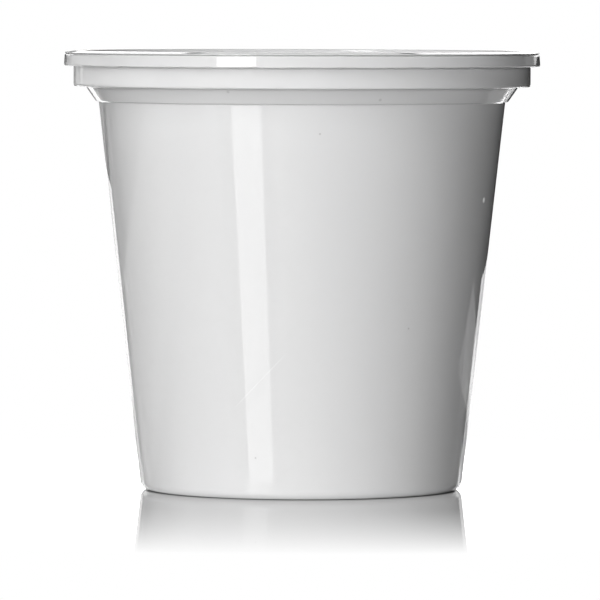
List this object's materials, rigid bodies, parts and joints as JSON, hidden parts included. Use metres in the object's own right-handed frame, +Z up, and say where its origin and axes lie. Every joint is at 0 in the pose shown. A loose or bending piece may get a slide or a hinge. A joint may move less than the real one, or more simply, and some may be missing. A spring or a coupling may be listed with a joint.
{
  "type": "round plastic tub",
  "caption": "Open round tub of thin white plastic with a tapered body, a stepped neck, a stacking band and a down-turned lip for a snap lid.",
  "frame": {"origin": "centre of the standing ring under the base, on the table", "axes": "+Z up along the axis of the tub, out of its mouth"},
  "size_m": [0.095, 0.095, 0.0875],
  "materials": {
    "white_plastic": "opaque white injection-moulded polypropylene, glossy"
  },
  "bodies": {
    "root": {"tub": "white_plastic"}
  },
  "joints": []
}
